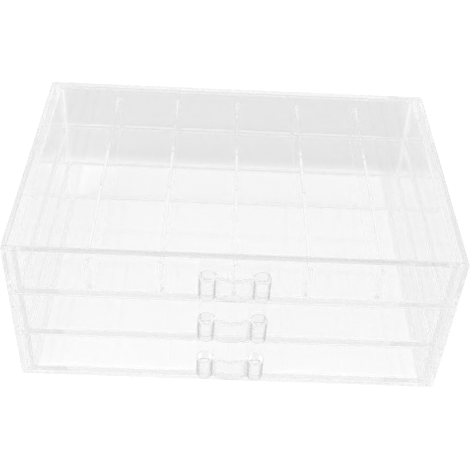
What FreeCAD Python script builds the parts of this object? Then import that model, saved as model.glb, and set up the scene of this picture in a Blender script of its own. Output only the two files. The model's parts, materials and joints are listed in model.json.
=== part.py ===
import FreeCAD, Part
import os

# A clear plastic desktop organiser: a five-sided case, open at the front, that holds
# three equal drawers one above the other. Each drawer slides out towards -Y: the lowest
# on the case's floor, the other two on runners that stand on ledges in the case. The top
# drawer is parted into six lanes by loose divider plates.
# Millimetres, +Z up, +Y towards the back. The origin is the centre of the underside.

# Driving dimensions: the case
case_width = 240.0
case_depth = 159.0
case_height = 100.0
case_wall = 3.0
case_edge_radius = 2.5
case_rim_radius = 0.5
cavity_edge_radius = 1.0
cavity_back_corner_radius = 2.5

# The drawers
drawer_names = ["bottom", "middle", "top"]
front_thickness = 2.5
front_side_gap = 0.4
front_gap = 0.6
front_corner_radius = 1.2
front_edge_radius = 0.5
body_wall = 2.1
floor_thickness = 2.0
body_side_gap = 2.5
body_back_gap = 0.6
body_top_drop = 0.5
body_inner_radius = 2.5
body_foot_radius = 0.8
body_rim_radius = 0.4

# The runners along the drawers' lower edges, and the ledges in the case that carry them
runner_height = 1.6
runner_side_gap = 0.5
runner_back_gap = 6.0
runner_edge_radius = 0.3
ledge_reach = 2.1
ledge_height = 1.6
ledge_setback = 0.6
ledge_root = 1.0

# The loose dividers and the guide ribs that hold their ends
divider_count = 5
divider_pitch = 38.2
divider_thickness = 2.1
divider_height = 23.3
divider_end_gap = 0.2
divider_corner_radius = 2.8
divider_edge_radius = 0.3
rib_width = 1.0
rib_reach = 2.0
rib_height = 21.8
rib_play = 0.1
rib_tip_radius = 1.2
rib_root = 0.5

# The handles: two upright round posts joined by a web that bows outwards
post_radius = 4.7
post_spacing = 28.4
post_flat_depth = 0.25
handle_height = 14.8
web_thickness = 2.2
web_bow = 4.7
web_end_depth = 1.5
handle_edge_radius = 1.2
web_edge_radius = 0.8

# Worked-out positions
front_y = -case_depth / 2
back_y = case_depth / 2
half_cavity = case_width / 2 - case_wall
bay_height = (case_height - 2 * case_wall) / len(drawer_names)
body_half_width = half_cavity - body_side_gap
body_back_y = back_y - case_wall - body_back_gap
overshoot = 10.0


def block(x_range, y_range, z_range):
    """A plain box between pairs of limits."""
    size = [high - low for low, high in (x_range, y_range, z_range)]
    corner = FreeCAD.Vector(x_range[0], y_range[0], z_range[0])
    return Part.makeBox(*size, corner)


def edges_along(shape, axis, keep=lambda middle: True):
    """The straight edges of a shape that run along one axis (0 X, 1 Y, 2 Z)."""
    found = []
    for edge in shape.Edges:
        if len(edge.Vertexes) != 2:
            continue
        run = edge.Vertexes[1].Point - edge.Vertexes[0].Point
        across = [abs(run[i]) for i in range(3) if i != axis]
        if abs(run[axis]) > 1e-6 and max(across) < 1e-6 and keep(edge.CenterOfMass):
            found.append(edge)
    return found


def edges_at(shape, axis, place):
    """The edges of a shape that lie whole in the plane axis = place."""
    found = []
    for edge in shape.Edges:
        limits = edge.BoundBox
        low = (limits.XMin, limits.YMin, limits.ZMin)[axis]
        high = (limits.XMax, limits.YMax, limits.ZMax)[axis]
        if abs(low - place) < 1e-4 and abs(high - place) < 1e-4:
            found.append(edge)
    return found


def bay_bottom(level):
    """Height of the lower edge of a drawer's bay; level 0 is the lowest."""
    return case_wall + level * bay_height


def make_case():
    """The case: a box open at the front, with a ledge each side under the upper bays."""
    half_width = case_width / 2
    shell = block((-half_width, half_width), (front_y, back_y), (0.0, case_height))
    long_edges = edges_along(shell, 1)
    back_edges = edges_at(shell, 1, back_y)
    shell = shell.makeFillet(case_edge_radius, long_edges + back_edges)
    shell = shell.makeFillet(case_rim_radius, edges_at(shell, 1, front_y))

    cavity_back = back_y - case_wall
    cavity = block(
        (-half_cavity, half_cavity),
        (front_y - overshoot, cavity_back),
        (case_wall, case_height - case_wall),
    )
    upright = edges_along(cavity, 2, lambda middle: middle.y > 0)
    cavity = cavity.makeFillet(cavity_back_corner_radius, upright)
    cavity = cavity.makeFillet(cavity_edge_radius, edges_along(cavity, 1))
    case = shell.cut(cavity)

    ledge_front = front_y + front_thickness + ledge_setback
    for level in range(1, len(drawer_names)):
        base = bay_bottom(level)
        for side in (-1, 1):
            x_limits = sorted((side * (half_cavity - ledge_reach), side * (half_cavity + ledge_root)))
            y_limits = (ledge_front, cavity_back + ledge_root)
            ledge = block(x_limits, y_limits, (base - ledge_height, base))
            case = case.fuse(ledge)
    return case.removeSplitter()


def divider_places():
    """The middle of each divider along X."""
    first = -divider_pitch * (divider_count - 1) / 2
    return [first + i * divider_pitch for i in range(divider_count)]


def guide_rib(x_middle, y_wall, inwards, z_floor):
    """A short upright rib on the front or back wall; inwards is +1 or -1 along Y."""
    tip = y_wall + inwards * rib_reach
    root = y_wall - inwards * rib_root
    top = z_floor + rib_height
    rib = block(
        (x_middle - rib_width / 2, x_middle + rib_width / 2),
        sorted((root, tip)),
        (z_floor - rib_root, top),
    )
    tip_edges = [e for e in edges_at(rib, 1, tip) if abs(e.CenterOfMass.z - top) < 1e-6]
    return rib.makeFillet(rib_tip_radius, tip_edges)


def make_drawer(level, with_ribs):
    """An open tray with round inner corners and a runner each side, behind a front plate."""
    base = bay_bottom(level)
    front_half_width = half_cavity - front_side_gap
    front_low = base + front_gap / 2
    front_high = base + bay_height - front_gap / 2
    inner_front_y = front_y + front_thickness

    front = block(
        (-front_half_width, front_half_width),
        (front_y, inner_front_y),
        (front_low, front_high),
    )
    front = front.makeFillet(front_corner_radius, edges_along(front, 1))
    front = front.makeFillet(front_edge_radius, edges_at(front, 1, front_y))

    floor_low = front_low
    floor_high = floor_low + floor_thickness
    body_high = front_high - body_top_drop
    inner_half_width = body_half_width - body_wall
    inner_back_y = body_back_y - body_wall

    outer = block(
        (-body_half_width, body_half_width),
        (front_y + front_thickness / 2, body_back_y),
        (floor_low, body_high),
    )
    outer_corners = edges_along(outer, 2, lambda middle: middle.y > 0)
    outer = outer.makeFillet(body_inner_radius + body_wall, outer_corners)
    foot = [e for e in edges_at(outer, 2, floor_low) if e.BoundBox.YMax > inner_front_y]
    outer = outer.makeFillet(body_foot_radius, foot)

    runner_half_width = half_cavity - runner_side_gap
    runner = block(
        (-runner_half_width, runner_half_width),
        (inner_front_y - front_thickness / 2, body_back_y - runner_back_gap),
        (floor_low, floor_low + runner_height),
    )
    runner_edges = edges_along(runner, 1)
    outer = outer.fuse(runner.makeFillet(runner_edge_radius, runner_edges))

    room = block(
        (-inner_half_width, inner_half_width),
        (inner_front_y, inner_back_y),
        (floor_high, body_high + overshoot),
    )
    room = room.makeFillet(body_inner_radius, edges_along(room, 2))
    room = room.makeFillet(body_inner_radius, edges_at(room, 2, floor_high))
    drawer = outer.fuse(front).cut(room)

    if with_ribs:
        offset = divider_thickness / 2 + rib_play + rib_width / 2
        for x_divider in divider_places():
            for x_rib in (x_divider - offset, x_divider + offset):
                for y_wall, inwards in ((inner_front_y, 1), (inner_back_y, -1)):
                    drawer = drawer.fuse(guide_rib(x_rib, y_wall, inwards, floor_high))
    drawer = drawer.removeSplitter()
    rim = [e for e in edges_at(drawer, 2, body_high) if e.BoundBox.YMin > inner_front_y - 1e-4]
    return drawer.makeFillet(body_rim_radius, rim)


def make_divider(x_middle):
    """A plate that stands on the top drawer's floor, its lower corners rounded clear."""
    floor_high = bay_bottom(len(drawer_names) - 1) + front_gap / 2 + floor_thickness
    y_limits = (
        front_y + front_thickness + divider_end_gap,
        body_back_y - body_wall - divider_end_gap,
    )
    half = divider_thickness / 2
    top = floor_high + divider_height
    plate = block((x_middle - half, x_middle + half), y_limits, (floor_high, top))
    lower = edges_along(plate, 0, lambda middle: middle.z < floor_high + 1.0)
    plate = plate.makeFillet(divider_corner_radius, lower)
    return plate.makeFillet(divider_edge_radius, edges_at(plate, 2, top))


def make_handle(level):
    """Two posts and a bowed web; a narrow flat down each post is bonded to the front."""
    middle = bay_bottom(level) + bay_height / 2
    low = middle - handle_height / 2
    high = middle + handle_height / 2
    post_y = front_y - post_radius + post_flat_depth
    up = FreeCAD.Vector(0, 0, 1)

    posts = []
    for side in (-1, 1):
        foot = FreeCAD.Vector(side * post_spacing / 2, post_y, low)
        post = Part.makeCylinder(post_radius, handle_height, foot, up)
        rims = edges_at(post, 2, low) + edges_at(post, 2, high)
        posts.append(post.makeFillet(handle_edge_radius, rims))

    # The web is a slice of an upright tube. Its middle line meets each post's inner side
    # level with the post's centre, and its outer face bows out by web_bow halfway between.
    half_span = post_spacing / 2 - post_radius
    half_slice = half_span + web_end_depth
    bow = web_bow - web_thickness / 2
    arc_radius = (half_span ** 2 + bow ** 2) / (2 * bow)
    arc_centre = FreeCAD.Vector(0, post_y - bow + arc_radius, low)
    outer = Part.makeCylinder(arc_radius + web_thickness / 2, handle_height, arc_centre, up)
    inner = Part.makeCylinder(arc_radius - web_thickness / 2, handle_height, arc_centre, up)
    slice_box = block(
        (-half_slice, half_slice), (post_y - 2 * web_bow, post_y + web_bow), (low, high)
    )
    web = outer.cut(inner).common(slice_box)
    flat_edges = edges_at(web, 2, low) + edges_at(web, 2, high)
    web = web.makeFillet(web_edge_radius, [e for e in flat_edges if e.Length > half_span])

    handle = posts[0].fuse([posts[1], web]).removeSplitter()
    behind = block(
        (-post_spacing, post_spacing),
        (front_y, front_y + overshoot),
        (low - overshoot, high + overshoot),
    )
    return handle.cut(behind)


def export(shape, name):
    """Write one piece, which must be a single sound solid."""
    if len(shape.Solids) != 1 or not shape.isValid():
        raise RuntimeError(name + " is not one sound solid")
    shape.Solids[0].exportStep("parts/" + name + ".step")


export(make_case(), "case")
for level, name in enumerate(drawer_names):
    export(make_drawer(level, with_ribs=(name == "top")), "drawer_" + name)
    export(make_handle(level), "handle_" + name)
for number, x_divider in enumerate(divider_places(), start=1):
    export(make_divider(x_divider), "divider_" + str(number))
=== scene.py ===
import bpy
import json
import math
from mathutils import Matrix, Vector

# A clear plastic desktop organiser with three drawers, on pale paper in soft light.
# Metres, +Z up, +Y towards the back, as in the CAD.

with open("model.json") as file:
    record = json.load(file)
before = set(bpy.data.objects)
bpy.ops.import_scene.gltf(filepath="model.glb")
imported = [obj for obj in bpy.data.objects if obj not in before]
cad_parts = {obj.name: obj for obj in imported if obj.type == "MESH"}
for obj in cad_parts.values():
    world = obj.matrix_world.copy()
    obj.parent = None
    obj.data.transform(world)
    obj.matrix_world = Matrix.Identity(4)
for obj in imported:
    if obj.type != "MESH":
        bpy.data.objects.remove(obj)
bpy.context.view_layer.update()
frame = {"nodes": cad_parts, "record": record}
scene = bpy.context.scene

# Camera: place in metres, angles in degrees, lens and sensor in millimetres
camera_place = Vector((-0.01127, -0.40229, 0.39569))
camera_yaw = 1.78
camera_pitch = 41.19
camera_roll = 3.385
camera_lens = 66.054
camera_sensor = 36.0
# The nearest and the farthest thing that the camera can see, in metres
camera_reach = (0.01, 50.0)

# Clear polystyrene, one finish for each CAD material slot. Wave depth is in metres.
plastic_ior = 1.58
plain_white = (1.0, 1.0, 1.0, 1.0)
finishes = {
    "case_plastic": dict(seed=1.0, wave_depth=4e-6, roughness=0.012, tint=1.0),
    "drawer_plastic": dict(seed=2.0, wave_depth=4e-6, roughness=0.014, tint=1.0),
    "divider_plastic": dict(seed=3.0, wave_depth=4e-6, roughness=0.014, tint=1.0),
    "handle_plastic": dict(seed=4.0, wave_depth=3e-6, roughness=0.01, tint=0.985, painted_edge_shade=0.45),
}
# The painted edge shade sets in as a surface turns away: 0 is seen face on, 1 edge on
turned_away = (0.42, 0.62)
# The moulding waves, and the patches of haze that raise the roughness up to haze_spread times
wave_noise = dict(Scale=28.0, Detail=2.0, Roughness=0.45)
haze_noise = dict(Scale=60.0, Detail=5.0, Roughness=0.6)
haze_seed_step = 7.0
haze_limits = (0.35, 0.75)
haze_spread = 2.2
# How much light one surface lets through to the floor: upright ones shade it more
shade_upright = 0.95
shade_level = 0.99
# A surface counts as upright below the first of these, and as level above the second
shade_limits = (0.2, 0.8)

# Pieces that touch another piece are drawn this much smaller, in metres
contact_relief = 4e-5
touching_pieces = ("divider", "handle")

# The floor: pale paper, laid a little below the object so that the two faces stay apart
floor_size = 8.0
floor_drop = 0.0004
floor_colour = (0.80, 0.80, 0.80, 1.0)
# The glow that makes it white to the camera: near the object, and at the far distances
straight_glow = 0.32
straight_glow_far = 0.70
far_distances = (0.4, 3.0)
# The glow that rays mirrored or bent by the plastic meet, painted light and shade: lighter under
# the object, darker beside it, a painted shadow behind it, and the share of it left in front, a
# painted shade there
painted_light_under = 0.28
painted_shade_beside = 0.175
painted_shadow_behind = 0.01
painted_shade_front = 0.4
# Where one zone of this painted light and shade passes into the next, in metres
side_zone = (0.110, 0.1135)
front_zone = (-0.095, -0.082)
back_zone = (0.122, 0.140)
back_zone_sides = (0.135, 0.16)
# The paper's grain, its depth in metres
grain_noise = dict(Scale=900.0, Detail=2.0)
grain_seed = 9.0
grain_depth = 4e-5

# The studio, as shares of white: the soft light around, then the walls that the plastic mirrors
ambient_light = 0.4
rear_wall = 0.94
camera_wall = 0.7
low_walls = 0.8
# Where each wall lies, and the cosines from that direction between which it sets in
rear_direction = (0.0, 0.755, 0.656)
rear_cone = (0.75, 0.95)
camera_direction = (0.0, -0.76, 0.65)
camera_cone = (0.45, 0.85)
# The low walls end between these heights and set in between these shares of the way to +Y or -Y
low_heights = (0.2, 0.45)
low_ends = (0.5, 0.8)

# Soft boxes: place and width in metres, power in watts
light_target = Vector((0.0, 0.0, 0.03))
key_place = Vector((-1.2, -2.0, 2.6))
key_power = 84.0
fill_place = Vector((2.2, -0.8, 2.2))
fill_power = 14.0
light_width = 1.4

# Light runs along inside the plates for hundreds of bounces before it leaves
clear_bounces = 1000
diffuse_bounces = 4
shadow_surfaces = 64


def make_camera():
    """The camera, from its place, yaw, pitch and roll."""
    data = bpy.data.cameras.new("camera")
    data.lens = camera_lens
    data.sensor_width = camera_sensor
    data.clip_start = camera_reach[0]
    data.clip_end = camera_reach[1]
    camera = bpy.data.objects.new("camera", data)
    scene.collection.objects.link(camera)
    yaw = math.radians(camera_yaw)
    pitch = math.radians(camera_pitch)
    looks = Vector((
        math.sin(yaw) * math.cos(pitch),
        math.cos(yaw) * math.cos(pitch),
        -math.sin(pitch),
    ))
    turn = looks.to_track_quat("-Z", "Y").to_matrix().to_4x4()
    roll = Matrix.Rotation(math.radians(camera_roll), 4, "Z")
    camera.matrix_world = Matrix.Translation(camera_place) @ turn @ roll
    scene.camera = camera


def add_node(tree, kind, **inputs):
    """Adds a shader node and sets its inputs by name. Returns the node."""
    made = tree.nodes.new(kind)
    for name, value in inputs.items():
        made.inputs[name.replace("_", " ")].default_value = value
    return made


def calculate(tree, operation, *values):
    """Adds a math node; each value is a number or a socket. Returns its result."""
    made = tree.nodes.new("ShaderNodeMath")
    made.operation = operation
    for i, value in enumerate(values):
        if isinstance(value, (int, float)):
            made.inputs[i].default_value = value
        else:
            tree.links.new(value, made.inputs[i])
    return made.outputs[0]


def map_range(tree, value, limits, low, high, kind="SMOOTHSTEP"):
    """Maps a socket from its limits to low..high, clamped. Returns the result."""
    made = add_node(tree, "ShaderNodeMapRange", To_Min=low, To_Max=high)
    made.interpolation_type = kind
    made.inputs["From Min"].default_value = limits[0]
    made.inputs["From Max"].default_value = limits[1]
    tree.links.new(value, made.inputs["Value"])
    return made.outputs["Result"]


def along(tree, vector, direction):
    """How far a vector socket points along a direction. Returns the result."""
    made = tree.nodes.new("ShaderNodeVectorMath")
    made.operation = "DOT_PRODUCT"
    made.inputs[1].default_value = Vector(direction).normalized()
    tree.links.new(vector, made.inputs[0])
    return made.outputs["Value"]


def length_of(tree, vector):
    """The length of a vector socket. Returns the result."""
    made = tree.nodes.new("ShaderNodeVectorMath")
    made.operation = "LENGTH"
    tree.links.new(vector, made.inputs[0])
    return made.outputs["Value"]


def split_axes(tree, vector):
    """Splits a vector socket. Returns the outputs X, Y and Z."""
    made = add_node(tree, "ShaderNodeSeparateXYZ")
    tree.links.new(vector, made.inputs[0])
    return made.outputs


def seeded_noise(tree, vector, seed, kind):
    """A noise texture of one kind that differs with its seed. Returns its value."""
    noise = tree.nodes.new("ShaderNodeTexNoise")
    noise.noise_dimensions = "4D"
    noise.inputs["W"].default_value = seed
    for name, value in kind.items():
        noise.inputs[name].default_value = value
    tree.links.new(vector, noise.inputs["Vector"])
    return noise.outputs["Fac"]


def new_material(name):
    """An empty node material. Returns it and its node tree."""
    material = bpy.data.materials.new(name)
    material.use_nodes = True
    material.node_tree.nodes.clear()
    return material, material.node_tree


def clear_plastic(name, seed, wave_depth, roughness, tint, painted_edge_shade=None):
    """Clear polished plastic with faint moulding waves and patches of haze.

    Thick round pieces also get a painted edge shade: the base colour darkens as the surface turns
    away from the eye, standing in for the dark rims where less light gets through.
    """
    material, tree = new_material(name)
    link = tree.links.new
    place = add_node(tree, "ShaderNodeTexCoord").outputs["Object"]

    waves = seeded_noise(tree, place, seed, wave_noise)
    wave_bump = add_node(tree, "ShaderNodeBump", Distance=wave_depth)
    link(waves, wave_bump.inputs["Height"])
    patches = seeded_noise(tree, place, seed + haze_seed_step, haze_noise)
    haze = map_range(tree, patches, haze_limits, roughness, roughness * haze_spread, "LINEAR")

    plastic = add_node(tree, "ShaderNodeBsdfPrincipled", IOR=plastic_ior, Transmission_Weight=1.0)
    plastic.inputs["Base Color"].default_value = (tint, tint, tint, 1.0)
    if painted_edge_shade is not None:
        # Painted shade: the colour darkens towards the outline as the surface turns away from the
        # eye
        turned = add_node(tree, "ShaderNodeLayerWeight").outputs["Facing"]
        tone = map_range(tree, turned, turned_away, tint, painted_edge_shade, "LINEAR")
        grey = add_node(tree, "ShaderNodeCombineColor")
        for channel in grey.inputs:
            link(tone, channel)
        link(grey.outputs[0], plastic.inputs["Base Color"])
    link(haze, plastic.inputs["Roughness"])
    link(wave_bump.outputs["Normal"], plastic.inputs["Normal"])

    # Light that goes to and from the floor passes straight through, a little dimmed
    facing = add_node(tree, "ShaderNodeNewGeometry").outputs["True Normal"]
    levelness = calculate(tree, "ABSOLUTE", split_axes(tree, facing)["Z"])
    shade = map_range(tree, levelness, shade_limits, shade_upright, shade_level, "LINEAR")
    clear = add_node(tree, "ShaderNodeBsdfTransparent")
    link(shade, clear.inputs["Color"])
    path = add_node(tree, "ShaderNodeLightPath").outputs
    passing = calculate(tree, "MAXIMUM", path["Is Shadow Ray"], path["Is Diffuse Ray"])
    mix = add_node(tree, "ShaderNodeMixShader")
    link(passing, mix.inputs[0])
    link(plastic.outputs[0], mix.inputs[1])
    link(clear.outputs[0], mix.inputs[2])
    output = add_node(tree, "ShaderNodeOutputMaterial")
    link(mix.outputs[0], output.inputs["Surface"])
    return material


def floor_paper():
    """Pale paper with a fine grain. To mirrored and bent rays it shows painted shade beside and
    in front of the object, a painted shadow behind it and painted light under it.
    """
    material, tree = new_material("floor_paper")
    link = tree.links.new
    place = add_node(tree, "ShaderNodeTexCoord").outputs["Object"]
    axes = split_axes(tree, place)

    # Painted light and shade for mirrored and bent rays: lighter under the object, darker beside
    # and in front of it, a painted shadow behind it
    across = calculate(tree, "ABSOLUTE", axes["X"])
    beside = map_range(tree, across, side_zone, painted_light_under, painted_shade_beside)
    ahead = map_range(tree, axes["Y"], front_zone, painted_shade_front, 1.0)
    near = calculate(tree, "MULTIPLY", beside, ahead)
    behind = map_range(tree, axes["Y"], back_zone, 0.0, 1.0)
    within = map_range(tree, across, back_zone_sides, 1.0, 0.0)
    zone = calculate(tree, "MULTIPLY", behind, within)
    fall = calculate(tree, "SUBTRACT", painted_shadow_behind, near)
    painted_light_and_shade = calculate(tree, "MULTIPLY_ADD", zone, fall, near)

    path = add_node(tree, "ShaderNodeLightPath").outputs
    bent = calculate(tree, "MAXIMUM", path["Is Glossy Ray"], path["Is Transmission Ray"])
    through_plastic = calculate(tree, "MULTIPLY", bent, painted_light_and_shade)
    distance = length_of(tree, place)
    straight_tone = map_range(tree, distance, far_distances, straight_glow, straight_glow_far)
    straight = calculate(tree, "MULTIPLY", path["Is Camera Ray"], straight_tone)
    glow = add_node(tree, "ShaderNodeEmission", Color=plain_white)
    link(calculate(tree, "ADD", through_plastic, straight), glow.inputs["Strength"])

    grain = seeded_noise(tree, place, grain_seed, grain_noise)
    grain_bump = add_node(tree, "ShaderNodeBump", Distance=grain_depth)
    link(grain, grain_bump.inputs["Height"])
    paper = add_node(tree, "ShaderNodeBsdfDiffuse", Color=floor_colour)
    link(grain_bump.outputs["Normal"], paper.inputs["Normal"])

    both = add_node(tree, "ShaderNodeAddShader")
    link(paper.outputs[0], both.inputs[0])
    link(glow.outputs[0], both.inputs[1])
    output = add_node(tree, "ShaderNodeOutputMaterial")
    link(both.outputs[0], output.inputs["Surface"])
    return material


def make_floor():
    """The sheet of paper that the object stands on."""
    bpy.ops.mesh.primitive_plane_add(size=floor_size, location=(0, 0, -floor_drop))
    floor = bpy.context.object
    floor.name = "floor"
    floor.data.materials.append(floor_paper())


def make_world():
    """The studio: white overhead, greyer behind, low down, and where the camera stands."""
    world = bpy.data.worlds.new("studio")
    scene.world = world
    world.use_nodes = True
    tree = world.node_tree
    tree.nodes.clear()
    link = tree.links.new

    way = add_node(tree, "ShaderNodeTexCoord").outputs["Generated"]
    axes = split_axes(tree, way)
    rear = map_range(tree, along(tree, way, rear_direction), rear_cone, 1.0, rear_wall)
    front = map_range(tree, along(tree, way, camera_direction), camera_cone, 1.0, camera_wall)
    low = map_range(tree, axes["Z"], low_heights, 1.0, 0.0)
    ends = map_range(tree, calculate(tree, "ABSOLUTE", axes["Y"]), low_ends, 0.0, 1.0)
    dimmed = calculate(tree, "MULTIPLY", calculate(tree, "MULTIPLY", low, ends), 1.0 - low_walls)
    around = calculate(tree, "SUBTRACT", 1.0, dimmed)
    tone = calculate(tree, "MULTIPLY", calculate(tree, "MULTIPLY", rear, front), around)

    # Mirrored and bent rays see the walls, the camera sees white, the rest is soft light
    path = add_node(tree, "ShaderNodeLightPath").outputs
    bent = calculate(tree, "MAXIMUM", path["Is Glossy Ray"], path["Is Transmission Ray"])
    unbent = calculate(tree, "SUBTRACT", 1.0, bent)
    ambient = calculate(tree, "MULTIPLY", unbent, ambient_light)
    indirect = calculate(tree, "MULTIPLY_ADD", bent, tone, ambient)
    unseen = calculate(tree, "SUBTRACT", 1.0, path["Is Camera Ray"])
    strength = calculate(tree, "MULTIPLY_ADD", indirect, unseen, path["Is Camera Ray"])
    sky = add_node(tree, "ShaderNodeBackground", Color=plain_white)
    link(strength, sky.inputs["Strength"])
    output = add_node(tree, "ShaderNodeOutputWorld")
    link(sky.outputs[0], output.inputs["Surface"])


def add_soft_box(name, place, power):
    """A square area light aimed at the object, itself unseen."""
    data = bpy.data.lights.new(name, "AREA")
    data.size = light_width
    data.energy = power
    lamp = bpy.data.objects.new(name, data)
    scene.collection.objects.link(lamp)
    lamp.location = place
    lamp.rotation_euler = (light_target - place).to_track_quat("-Z", "Y").to_euler()
    lamp.visible_camera = False
    lamp.visible_glossy = False
    lamp.visible_transmission = False


def dress_object():
    """Gives each CAD node its plastic, and parts the faces that lie against each other."""
    slots = {s["node"]: s["material_slot"] for s in frame["record"]["subparts"]}
    plastics = {slot: clear_plastic(slot, **values) for slot, values in finishes.items()}
    for name, part in frame["nodes"].items():
        part.data.materials.clear()
        part.data.materials.append(plastics[slots[name]])
        if name.startswith(touching_pieces):
            relief = part.modifiers.new("contact_relief", "DISPLACE")
            relief.strength = -contact_relief
            relief.mid_level = 0.0
            relief.direction = "NORMAL"


dress_object()
make_camera()
make_floor()
make_world()
add_soft_box("key", key_place, key_power)
add_soft_box("fill", fill_place, fill_power)

scene.cycles.max_bounces = clear_bounces
scene.cycles.transmission_bounces = clear_bounces
scene.cycles.glossy_bounces = clear_bounces
scene.cycles.diffuse_bounces = diffuse_bounces
scene.cycles.transparent_max_bounces = shadow_surfaces
scene.view_settings.view_transform = "Standard"
